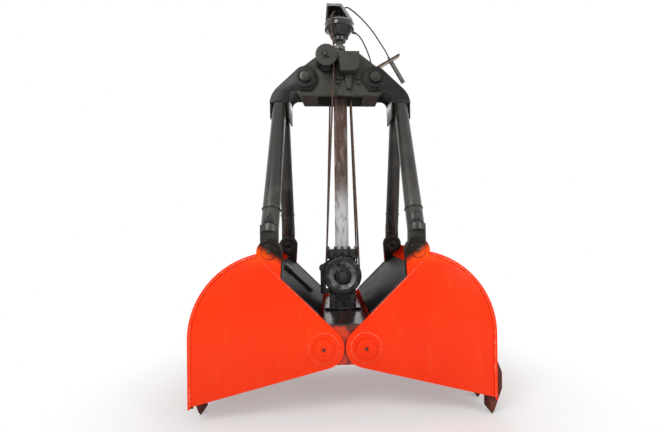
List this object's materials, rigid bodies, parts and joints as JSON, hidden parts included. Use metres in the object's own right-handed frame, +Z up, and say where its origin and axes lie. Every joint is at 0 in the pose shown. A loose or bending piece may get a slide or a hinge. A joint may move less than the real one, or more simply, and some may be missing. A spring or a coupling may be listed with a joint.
{
  "type": "rope-operated clamshell grab bucket",
  "caption": "Two-jaw clamshell grab hung from one rope: toothed orange jaws, black A-frame arms, head with sheaves, guide bar, swivel hanger and trip lever.",
  "frame": {"origin": "bottom centre, on the plane of the tooth tips, midway between the jaws", "axes": "+Z up along the guide bar, +X to the right jaw in the front view, +Y away from the guide roller side, along the hinge pins"},
  "size_m": [2.28, 1.316, 3.2986],
  "materials": {
    "jaw_paint": "gloss orange-red enamel, runs and dust",
    "beam_paint": "orange enamel with oil and rust grime",
    "black_paint": "gloss black enamel",
    "shaded_black": "brown-black enamel, oily",
    "worn_steel": "rusty, polished by sliding",
    "greasy_iron": "black grease over casting",
    "tooth_steel": "brown forged steel",
    "pin_steel": "turned steel, blackened",
    "bush_bronze": "bronze",
    "wire_rope": "greased wire rope",
    "cable_steel": "thin dark wire cable"
  },
  "bodies": {
    "lower_block": {"lower_beam": "beam_paint", "sheave_housing": "greasy_iron", "jaw_hinge_pins": "jaw_paint", "sheave_axles": "pin_steel", "sheave_nuts": "pin_steel", "latch_pin": "pin_steel", "rope_wraps": "wire_rope", "rope_falls": "wire_rope"},
    "latch": {"latch_hook": "greasy_iron"},
    "front_sheave": {"front_lower_sheave": "greasy_iron"},
    "rear_sheave": {"rear_lower_sheave": "greasy_iron"},
    "right_jaw": {"right_side_plates": "jaw_paint", "right_back_plate": "jaw_paint", "right_cover_plate": "black_paint", "right_cutting_edge": "tooth_steel", "right_teeth_row": "tooth_steel", "right_inner_ears": "shaded_black", "right_hinge_bushes": "bush_bronze", "right_ear_pins": "pin_steel"},
    "left_jaw": {"left_side_plates": "jaw_paint", "left_back_plate": "jaw_paint", "left_cover_plate": "black_paint", "left_cutting_edge": "tooth_steel", "left_teeth_row": "tooth_steel", "left_inner_ears": "shaded_black", "left_hinge_bushes": "bush_bronze", "left_ear_pins": "pin_steel"},
    "right_arm": {"right_elbow": "black_paint", "right_legs": "black_paint", "right_leg_feet": "black_paint", "right_elbow_pins": "pin_steel"},
    "left_arm": {"left_elbow": "black_paint", "left_legs": "black_paint", "left_leg_feet": "black_paint", "left_elbow_pins": "pin_steel"},
    "head": {"head_frame": "black_paint", "head_pins": "pin_steel", "guide_bar": "worn_steel", "guide_bar_pin": "pin_steel", "head_sheave_axle": "pin_steel", "roller_axle": "pin_steel", "latch_box": "black_paint", "latch_tongue": "black_paint", "box_bolts": "pin_steel", "swivel_boss": "black_paint", "trip_bracket": "black_paint", "trip_pivot_pin": "pin_steel", "hoist_rope": "wire_rope", "long_trip_cable": "cable_steel", "short_trip_cable": "cable_steel"},
    "top_sheaves": {"head_sheaves": "greasy_iron"},
    "roller": {"guide_roller": "black_paint"},
    "hanger": {"hanger_neck": "pin_steel", "hanger_cup": "black_paint", "hanger_strap": "black_paint"},
    "trip": {"trip_lever": "black_paint", "trip_rod": "black_paint"}
  },
  "joints": [
    {"name": "right_jaw_hinge", "type": "hinge", "parent": "lower_block", "child": "right_jaw", "pos_m": [0.15, 0, 0.5145], "axis": [0, 1, 0], "range_deg": [0, 75.1]},
    {"name": "left_jaw_hinge", "type": "hinge", "parent": "lower_block", "child": "left_jaw", "pos_m": [-0.15, 0, 0.5145], "axis": [0, -1, 0], "range_deg": [0, 75.1]},
    {"name": "head_slide", "type": "slide", "parent": "lower_block", "child": "head", "axis": [0, 0, -1], "range_m": [0, 0.9947], "deforming": ["rope_falls"]},
    {"name": "right_arm_pivot", "type": "hinge", "parent": "right_jaw", "child": "right_arm", "pos_m": [0.526, 0, 1.2], "axis": [0, -1, 0], "range_deg": [0, 91.31]},
    {"name": "left_arm_pivot", "type": "hinge", "parent": "left_jaw", "child": "left_arm", "pos_m": [-0.526, 0, 1.2], "axis": [0, 1, 0], "range_deg": [0, 91.31]},
    {"name": "front_sheave_spin", "type": "hinge", "parent": "lower_block", "child": "front_sheave", "pos_m": [0, -0.16, 0.972], "axis": [0, 1, 0], "continuous": true},
    {"name": "rear_sheave_spin", "type": "hinge", "parent": "lower_block", "child": "rear_sheave", "pos_m": [0, 0.16, 0.972], "axis": [0, 1, 0], "continuous": true},
    {"name": "latch_swing", "type": "hinge", "parent": "lower_block", "child": "latch", "pos_m": [-0.162, -0.092, 1.03], "axis": [0, 1, 0], "range_deg": [0, 15]},
    {"name": "head_sheave_spin", "type": "hinge", "parent": "head", "child": "top_sheaves", "pos_m": [0, 0, 2.64], "axis": [0, 1, 0], "continuous": true},
    {"name": "roller_spin", "type": "hinge", "parent": "head", "child": "roller", "pos_m": [-0.113, -0.21, 2.745], "axis": [0, 1, 0], "continuous": true},
    {"name": "hanger_swivel", "type": "hinge", "parent": "head", "child": "hanger", "pos_m": [0, 0, 2.9], "axis": [0, 0, 1], "range_deg": [-15, 15]},
    {"name": "trip_lever_pivot", "type": "hinge", "parent": "head", "child": "trip", "pos_m": [0.255, 0.202, 2.778], "axis": [0, 1, 0], "range_deg": [0, 20]}
  ],
  "couplings": [
    {"joint": "left_jaw_hinge", "follows": "right_jaw_hinge", "ratio": 1},
    {"joint": "head_slide", "follows": "right_jaw_hinge", "m_per_rad": 0.7588},
    {"joint": "right_arm_pivot", "follows": "right_jaw_hinge", "ratio": 1.2158},
    {"joint": "left_arm_pivot", "follows": "right_jaw_hinge", "ratio": 1.2158}
  ]
}
